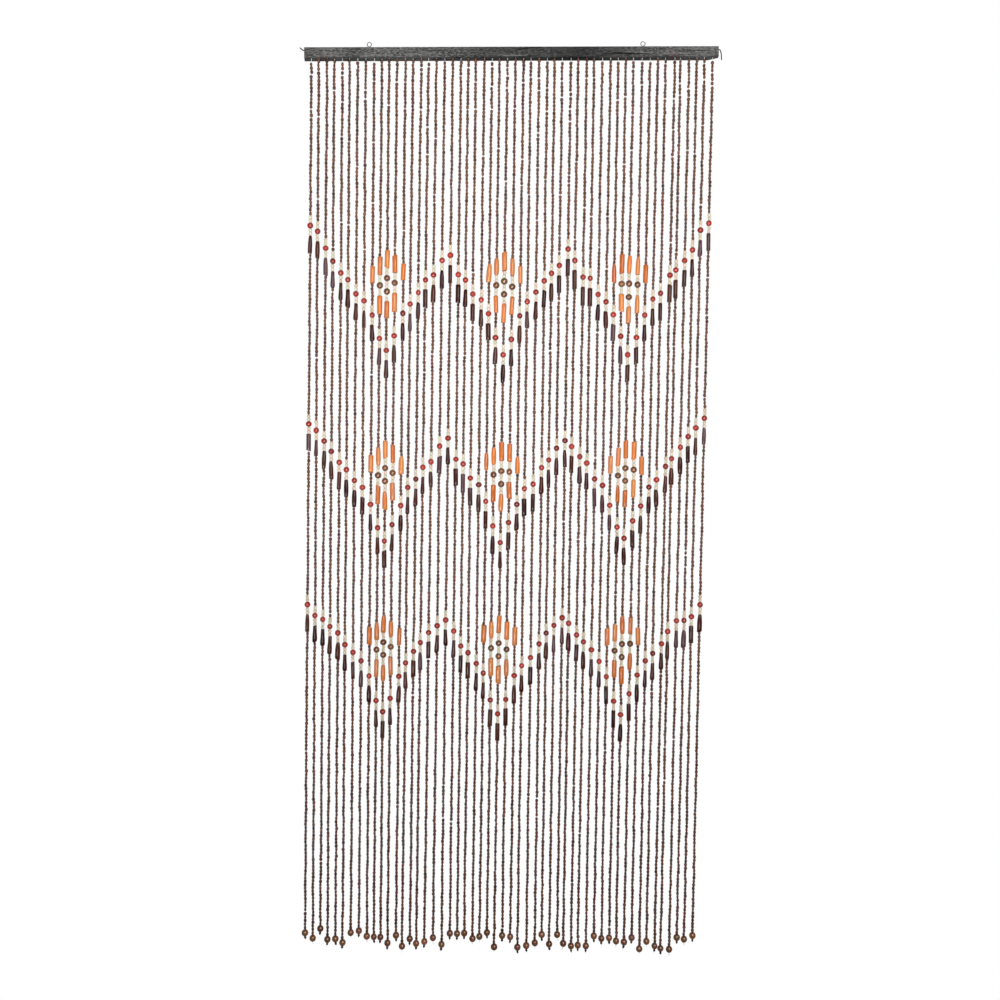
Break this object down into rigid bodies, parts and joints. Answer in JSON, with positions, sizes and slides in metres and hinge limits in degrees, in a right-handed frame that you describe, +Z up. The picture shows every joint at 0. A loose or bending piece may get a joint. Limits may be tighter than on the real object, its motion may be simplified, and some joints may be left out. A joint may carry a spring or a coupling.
{
  "type": "bead curtain with header bar",
  "caption": "Door curtain of wooden bead strings hung from a dark-stained header bar with screw eyes, patterned with rows of V shapes and diamonds in red, orange and cream.",
  "frame": {"origin": "midway along the bar, in the middle of its depth, level with the middle of the two screw eyes", "axes": "+Z up, +X to the right along the bar for someone facing the front, +Y towards the back"},
  "size_m": [0.9195, 0.03, 2.0292],
  "materials": {
    "stained_wood": "charcoal stain, matt",
    "eye_metal": "zinc-plated wire",
    "brown_bead": "stained brown, lacquered",
    "dark_bead": "stained near-black, lacquered",
    "cream_bead": "cream lacquer",
    "red_bead": "red lacquer",
    "orange_bead": "orange lacquer",
    "round_bead": "walnut stain, lacquered",
    "string_fibre": "white nylon string",
    "cord_fibre": "twisted dark red cord"
  },
  "bodies": {
    "root": {"header_bar": "stained_wood", "screw_eye_left": "eye_metal", "screw_eye_right": "eye_metal", "strand_comb": "brown_bead", "cord_end_left": "cord_fibre", "cord_end_right": "cord_fibre"}
  },
  "joints": []
}
